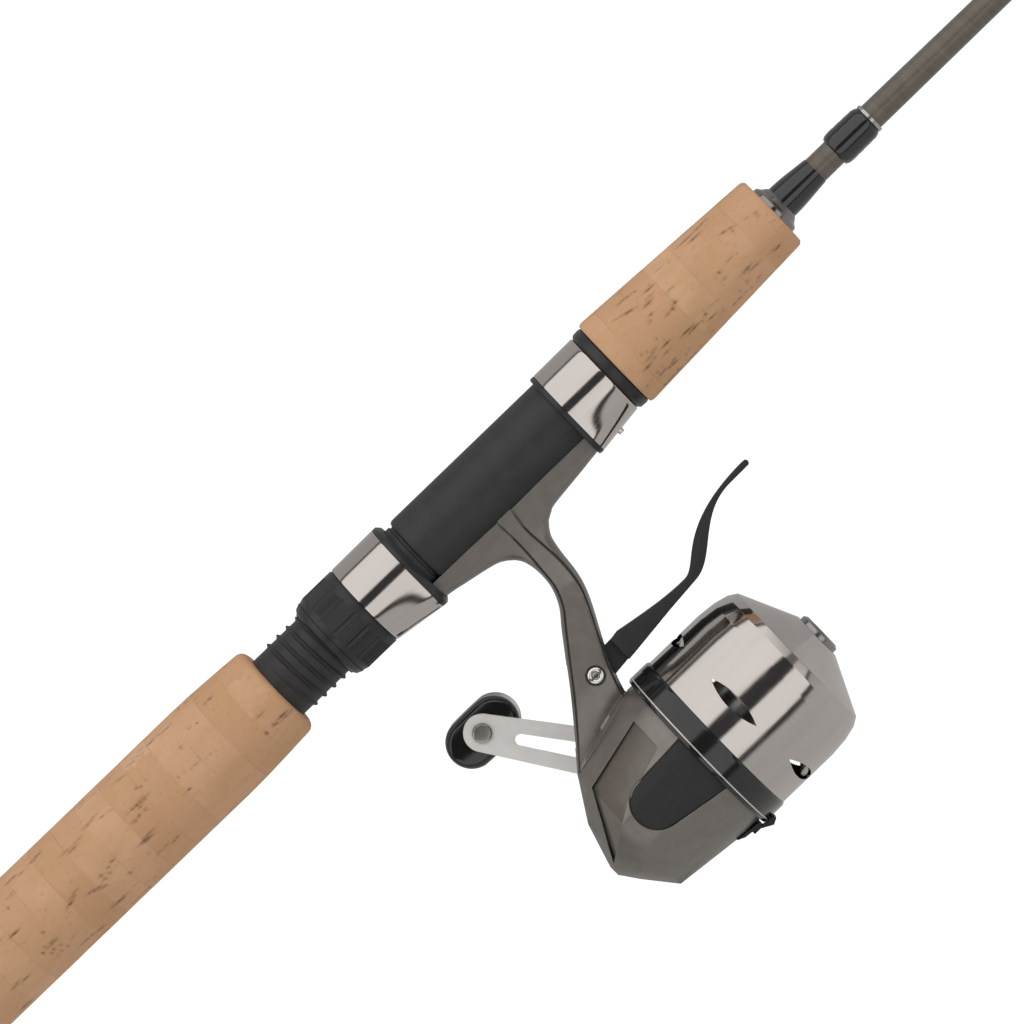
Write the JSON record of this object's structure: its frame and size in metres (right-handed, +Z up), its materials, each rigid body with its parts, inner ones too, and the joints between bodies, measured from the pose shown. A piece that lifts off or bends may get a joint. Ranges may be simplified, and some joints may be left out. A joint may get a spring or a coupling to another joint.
{
  "type": "fishing rod with closed-face reel",
  "caption": "Light fishing rod with cork grips, a sliding-hood reel seat, ring guides and an under-hung closed-face reel worked by a trigger lever and a side crank.",
  "frame": {"origin": "centre of the butt cap's flat end face, on the rod's axis", "axes": "+X along the rod from the butt to the tip, +Z up away from the reel, +Y to the side that the crank is on"},
  "size_m": [0.7619, 0.0604, 0.0997],
  "materials": {
    "cork": "satin cork with pits",
    "black_rubber": "matt",
    "black_plastic": "matt moulded",
    "gloss_black": "lacquered thread wrap",
    "blank": "satin lacquered glass blank",
    "plated": "warm dark nickel plate",
    "graphite_paint": "satin metallic grey paint",
    "black_metal": "satin black",
    "bright_alloy": "satin",
    "steel": "turned",
    "brass": "cut",
    "ceramic_ring": "polished",
    "smoke_metal": "polished dark",
    "washer": "fibre"
  },
  "bodies": {
    "handle": {"butt_cap": "black_rubber", "rear_grip": "cork", "blank_butt": "blank", "seat_body": "black_plastic", "seat_arbors": "washer", "fixed_hood": "plated", "hood_ring": "black_plastic", "fore_grip": "cork", "winding_check": "smoke_metal", "grip_wrap": "gloss_black", "ferrule_spigot": "black_plastic", "reel_frame": "graphite_paint", "rear_housing": "graphite_paint", "side_insets": "black_plastic", "band_ring": "black_metal", "deck_plate": "black_plastic", "deck_screws": "steel", "spool_clip": "steel", "drag_washers": "washer", "return_spring": "steel", "crank_bushing": "brass", "trigger_pin": "steel"},
    "hood_slider": {"sliding_hood": "plated", "hood_liner": "black_plastic"},
    "nut": {"lock_nut": "black_plastic"},
    "tip_section": {"blank_tip": "blank", "ferrule_wrap": "gloss_black", "trim_ring": "steel", "guide_frame_1": "black_metal", "guide_frame_2": "black_metal", "guide_frame_3": "black_metal", "guide_frame_4": "black_metal", "guide_ring_1": "ceramic_ring", "guide_ring_2": "ceramic_ring", "guide_ring_3": "ceramic_ring", "guide_ring_4": "ceramic_ring", "guide_wraps": "gloss_black", "tip_top": "black_metal", "tip_ring": "ceramic_ring"},
    "cover": {"front_cover": "plated", "line_eyelet": "steel"},
    "spool_drum": {"spool": "bright_alloy"},
    "pinion": {"pinion_gear": "brass"},
    "plunger": {"thrust_cap": "black_plastic"},
    "spinner": {"center_shaft": "steel", "shaft_collar": "steel", "spinner_head": "bright_alloy", "spinner_nut": "brass"},
    "pickup": {"pickup_pin": "steel"},
    "crank": {"main_gear": "brass", "crank_shaft": "steel", "ratchet_wheel": "steel", "crank_arm": "bright_alloy", "crank_nut": "steel", "knob_rivet": "steel"},
    "crank_knob": {"knob": "black_plastic"},
    "trigger": {"trigger_lever": "black_plastic"},
    "switch": {"anti_reverse_switch": "black_plastic"},
    "pawl_arm": {"pawl": "steel"}
  },
  "joints": [
    {"name": "hood_slide", "type": "slide", "parent": "handle", "child": "hood_slider", "axis": [1, 0, 0], "range_m": [-0.011, 0]},
    {"name": "nut_turn", "type": "hinge", "parent": "hood_slider", "child": "nut", "pos_m": [0.1333, 0, 0], "axis": [1, 0, 0], "range_deg": [-1524, 0]},
    {"name": "ferrule_pull", "type": "slide", "parent": "handle", "child": "tip_section", "axis": [1, 0, 0], "range_m": [0, 0.03]},
    {"name": "cover_pull", "type": "slide", "parent": "handle", "child": "cover", "axis": [1, 0, 0], "range_m": [0, 0.03]},
    {"name": "spool_drag", "type": "hinge", "parent": "handle", "child": "spool_drum", "pos_m": [0.1801, 0, -0.0672], "axis": [1, 0, 0], "continuous": true},
    {"name": "crank_turn", "type": "hinge", "parent": "handle", "child": "crank", "pos_m": [0.1601, 0.02, -0.0672], "axis": [0, 1, 0], "continuous": true},
    {"name": "knob_spin", "type": "hinge", "parent": "crank", "child": "crank_knob", "pos_m": [0.13688, 0.031, -0.03524], "axis": [0, 1, 0], "continuous": true},
    {"name": "pinion_spin", "type": "hinge", "parent": "handle", "child": "pinion", "pos_m": [0.1751, 0, -0.0672], "axis": [1, 0, 0], "continuous": true},
    {"name": "trigger_pull", "type": "hinge", "parent": "handle", "child": "trigger", "pos_m": [0.1627, 0, -0.0422], "axis": [0, -1, 0], "range_deg": [0, 9], "stiffness_Nm_per_rad": 0.35, "springref_deg": -8.59},
    {"name": "plunger_slide", "type": "slide", "parent": "handle", "child": "plunger", "axis": [1, 0, 0], "range_m": [0, 0.0042], "deforming": ["return_spring"]},
    {"name": "spinner_spin", "type": "hinge", "parent": "plunger", "child": "spinner", "pos_m": [0.1801, 0, -0.0672], "axis": [1, 0, 0], "continuous": true},
    {"name": "pickup_slide", "type": "slide", "parent": "spinner", "child": "pickup", "axis": [0, 0, -1], "range_m": [0, 0.0017]},
    {"name": "switch_slide", "type": "slide", "parent": "handle", "child": "switch", "axis": [-1, 0, 0], "range_m": [0, 0.003]},
    {"name": "pawl_turn", "type": "hinge", "parent": "handle", "child": "pawl_arm", "pos_m": [0.1537, 0.006, -0.0758], "axis": [0, -1, 0], "range_deg": [0, 8]}
  ],
  "couplings": [
    {"joint": "nut_turn", "follows": "hood_slide", "rad_per_m": 2416.6},
    {"joint": "pinion_spin", "follows": "crank_turn", "ratio": -3.5},
    {"joint": "spinner_spin", "follows": "crank_turn", "ratio": -3.5},
    {"joint": "plunger_slide", "follows": "trigger_pull", "m_per_rad": 0.026101},
    {"joint": "pickup_slide", "follows": "trigger_pull", "m_per_rad": 0.010186},
    {"joint": "pawl_turn", "follows": "switch_slide", "rad_per_m": 34.907}
  ]
}
